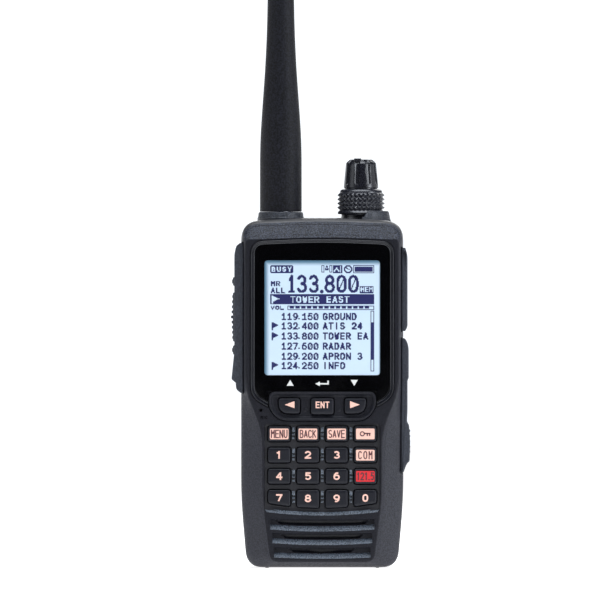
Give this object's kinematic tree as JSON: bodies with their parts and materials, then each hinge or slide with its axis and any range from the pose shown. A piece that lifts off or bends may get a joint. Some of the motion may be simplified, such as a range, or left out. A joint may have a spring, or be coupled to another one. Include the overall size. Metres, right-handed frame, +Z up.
{
  "type": "handheld aviation radio",
  "caption": "Handheld airband transceiver with display, navigation keys, keypad, speaker grille, dual rotary control, detachable antenna, side push-to-talk, battery pack and belt clip.",
  "frame": {"origin": "middle of the case's base, where the radio stands", "axes": "+Z up towards the antenna, front face towards -Y, +X to the right seen from the front"},
  "size_m": [0.0686, 0.0448, 0.3044],
  "materials": {
    "case_plastic": "fine-grained moulded polycarbonate, charcoal grey",
    "dark_plastic": "satin moulded plastic, near black",
    "gloss_black": "polished acrylic, black",
    "key_rubber": "satin silicone rubber, blue-black",
    "soft_rubber": "matt elastomer, dark blue-grey",
    "antenna_rubber": "finely speckled rubber, near black",
    "screen": "pale blue backlit display",
    "board_green": "solder-mask green",
    "steel": "plated steel",
    "brass": "drawn brass wire",
    "cell_wrap": "heat-shrink wrap, blue",
    "paper_cone": "pressed paper, dark",
    "ceramic": "unglazed ceramic"
  },
  "bodies": {
    "radio_case": {"front_case": "case_plastic", "case_gasket": "soft_rubber", "rear_chassis": "dark_plastic", "top_panel": "case_plastic", "window_bezel": "gloss_black", "display_lens": "gloss_black", "lcd_module": "screen", "nav_surround": "dark_plastic", "keypad_membrane": "soft_rubber", "speaker_frame": "steel", "speaker_cone": "paper_cone", "microphone": "steel", "main_board": "board_green", "rf_shield": "steel", "gps_patch_antenna": "ceramic", "side_key_panel": "soft_rubber", "headset_jack": "dark_plastic", "charging_jack": "dark_plastic", "antenna_jack": "steel", "encoder_body": "dark_plastic", "clip_bracket": "steel", "clip_pin": "steel", "clip_spring": "steel", "left_bracket_screw": "steel", "right_bracket_screw": "steel"},
    "key_menu_body": {"key_menu": "key_rubber"},
    "key_back_body": {"key_back": "key_rubber"},
    "key_save_body": {"key_save": "key_rubber"},
    "key_lock_body": {"key_lock": "key_rubber"},
    "key_1_body": {"key_1": "key_rubber"},
    "key_2_body": {"key_2": "key_rubber"},
    "key_3_body": {"key_3": "key_rubber"},
    "key_com_body": {"key_com": "key_rubber"},
    "key_4_body": {"key_4": "key_rubber"},
    "key_5_body": {"key_5": "key_rubber"},
    "key_6_body": {"key_6": "key_rubber"},
    "key_distress_body": {"key_distress": "key_rubber"},
    "key_7_body": {"key_7": "key_rubber"},
    "key_8_body": {"key_8": "key_rubber"},
    "key_9_body": {"key_9": "key_rubber"},
    "key_0_body": {"key_0": "key_rubber"},
    "nav_key_left_body": {"nav_key_left": "key_rubber"},
    "nav_key_enter_body": {"nav_key_enter": "key_rubber"},
    "nav_key_right_body": {"nav_key_right": "key_rubber"},
    "ptt_button_body": {"ptt_button": "soft_rubber"},
    "lamp_button_body": {"lamp_button": "soft_rubber"},
    "monitor_button_body": {"monitor_button": "soft_rubber"},
    "tuning_dial": {"dial_knob": "dark_plastic", "dial_shaft": "steel"},
    "squelch_control": {"squelch_ring": "dark_plastic"},
    "antenna": {"antenna_sheath": "antenna_rubber", "antenna_coupling": "steel", "antenna_element": "brass"},
    "upper_cover": {"upper_jack_cover": "soft_rubber"},
    "lower_cover": {"lower_jack_cover": "soft_rubber"},
    "battery_pack": {"battery_case": "dark_plastic", "battery_lid": "dark_plastic", "battery_cell": "cell_wrap"},
    "pack_latch": {"battery_latch": "dark_plastic"},
    "clip": {"belt_clip": "steel"}
  },
  "joints": [
    {"name": "key_menu_press", "type": "slide", "parent": "radio_case", "child": "key_menu_body", "axis": [0, 1, 0], "range_m": [0, 0.0008], "stiffness_N_per_m": 150, "springref_m": -0.001},
    {"name": "key_back_press", "type": "slide", "parent": "radio_case", "child": "key_back_body", "axis": [0, 1, 0], "range_m": [0, 0.0008], "stiffness_N_per_m": 150, "springref_m": -0.001},
    {"name": "key_save_press", "type": "slide", "parent": "radio_case", "child": "key_save_body", "axis": [0, 1, 0], "range_m": [0, 0.0008], "stiffness_N_per_m": 150, "springref_m": -0.001},
    {"name": "key_lock_press", "type": "slide", "parent": "radio_case", "child": "key_lock_body", "axis": [0, 1, 0], "range_m": [0, 0.0008], "stiffness_N_per_m": 150, "springref_m": -0.001},
    {"name": "key_1_press", "type": "slide", "parent": "radio_case", "child": "key_1_body", "axis": [0, 1, 0], "range_m": [0, 0.0008], "stiffness_N_per_m": 150, "springref_m": -0.001},
    {"name": "key_2_press", "type": "slide", "parent": "radio_case", "child": "key_2_body", "axis": [0, 1, 0], "range_m": [0, 0.0008], "stiffness_N_per_m": 150, "springref_m": -0.001},
    {"name": "key_3_press", "type": "slide", "parent": "radio_case", "child": "key_3_body", "axis": [0, 1, 0], "range_m": [0, 0.0008], "stiffness_N_per_m": 150, "springref_m": -0.001},
    {"name": "key_com_press", "type": "slide", "parent": "radio_case", "child": "key_com_body", "axis": [0, 1, 0], "range_m": [0, 0.0008], "stiffness_N_per_m": 150, "springref_m": -0.001},
    {"name": "key_4_press", "type": "slide", "parent": "radio_case", "child": "key_4_body", "axis": [0, 1, 0], "range_m": [0, 0.0008], "stiffness_N_per_m": 150, "springref_m": -0.001},
    {"name": "key_5_press", "type": "slide", "parent": "radio_case", "child": "key_5_body", "axis": [0, 1, 0], "range_m": [0, 0.0008], "stiffness_N_per_m": 150, "springref_m": -0.001},
    {"name": "key_6_press", "type": "slide", "parent": "radio_case", "child": "key_6_body", "axis": [0, 1, 0], "range_m": [0, 0.0008], "stiffness_N_per_m": 150, "springref_m": -0.001},
    {"name": "key_distress_press", "type": "slide", "parent": "radio_case", "child": "key_distress_body", "axis": [0, 1, 0], "range_m": [0, 0.0008], "stiffness_N_per_m": 150, "springref_m": -0.001},
    {"name": "key_7_press", "type": "slide", "parent": "radio_case", "child": "key_7_body", "axis": [0, 1, 0], "range_m": [0, 0.0008], "stiffness_N_per_m": 150, "springref_m": -0.001},
    {"name": "key_8_press", "type": "slide", "parent": "radio_case", "child": "key_8_body", "axis": [0, 1, 0], "range_m": [0, 0.0008], "stiffness_N_per_m": 150, "springref_m": -0.001},
    {"name": "key_9_press", "type": "slide", "parent": "radio_case", "child": "key_9_body", "axis": [0, 1, 0], "range_m": [0, 0.0008], "stiffness_N_per_m": 150, "springref_m": -0.001},
    {"name": "key_0_press", "type": "slide", "parent": "radio_case", "child": "key_0_body", "axis": [0, 1, 0], "range_m": [0, 0.0008], "stiffness_N_per_m": 150, "springref_m": -0.001},
    {"name": "nav_key_left_press", "type": "slide", "parent": "radio_case", "child": "nav_key_left_body", "axis": [0, 1, 0], "range_m": [0, 0.0008], "stiffness_N_per_m": 150, "springref_m": -0.001},
    {"name": "nav_key_enter_press", "type": "slide", "parent": "radio_case", "child": "nav_key_enter_body", "axis": [0, 1, 0], "range_m": [0, 0.0008], "stiffness_N_per_m": 150, "springref_m": -0.001},
    {"name": "nav_key_right_press", "type": "slide", "parent": "radio_case", "child": "nav_key_right_body", "axis": [0, 1, 0], "range_m": [0, 0.0008], "stiffness_N_per_m": 150, "springref_m": -0.001},
    {"name": "ptt_button_press", "type": "slide", "parent": "radio_case", "child": "ptt_button_body", "axis": [1, 0, 0], "range_m": [0, 0.001], "stiffness_N_per_m": 400, "springref_m": -0.001},
    {"name": "lamp_button_press", "type": "slide", "parent": "radio_case", "child": "lamp_button_body", "axis": [1, 0, 0], "range_m": [0, 0.0008], "stiffness_N_per_m": 250, "springref_m": -0.001},
    {"name": "monitor_button_press", "type": "slide", "parent": "radio_case", "child": "monitor_button_body", "axis": [1, 0, 0], "range_m": [0, 0.0008], "stiffness_N_per_m": 250, "springref_m": -0.001},
    {"name": "dial_turn", "type": "hinge", "parent": "radio_case", "child": "tuning_dial", "pos_m": [0.0149, 0.001, 0.14], "axis": [0, 0, 1], "continuous": true},
    {"name": "squelch_turn", "type": "hinge", "parent": "radio_case", "child": "squelch_control", "pos_m": [0.0149, 0.001, 0.14], "axis": [0, 0, 1], "range_deg": [0, 270]},
    {"name": "antenna_bayonet", "type": "hinge", "parent": "radio_case", "child": "antenna", "pos_m": [-0.01585, 0.001, 0.1364], "axis": [0, 0, 1], "range_deg": [0, 90]},
    {"name": "upper_cover_hinge", "type": "hinge", "parent": "radio_case", "child": "upper_cover", "pos_m": [0.0314, -0.008, 0.0909], "axis": [0, 1, 0], "range_deg": [0, 75], "stiffness_Nm_per_rad": 0.005, "springref_deg": -17.19},
    {"name": "lower_cover_hinge", "type": "hinge", "parent": "radio_case", "child": "lower_cover", "pos_m": [0.0314, -0.008, 0.0876], "axis": [0, -1, 0], "range_deg": [0, 75], "stiffness_Nm_per_rad": 0.005, "springref_deg": -17.19},
    {"name": "battery_slide", "type": "slide", "parent": "radio_case", "child": "battery_pack", "axis": [0, 0, -1], "range_m": [0, 0.018]},
    {"name": "latch_slide", "type": "slide", "parent": "battery_pack", "child": "pack_latch", "axis": [0, 0, -1], "range_m": [0, 0.0025], "stiffness_N_per_m": 400, "springref_m": -0.001},
    {"name": "clip_pivot", "type": "hinge", "parent": "radio_case", "child": "clip", "pos_m": [0, 0.0226, 0.121], "axis": [1, 0, 0], "range_deg": [0, 20], "stiffness_Nm_per_rad": 0.8, "springref_deg": -20.05}
  ]
}
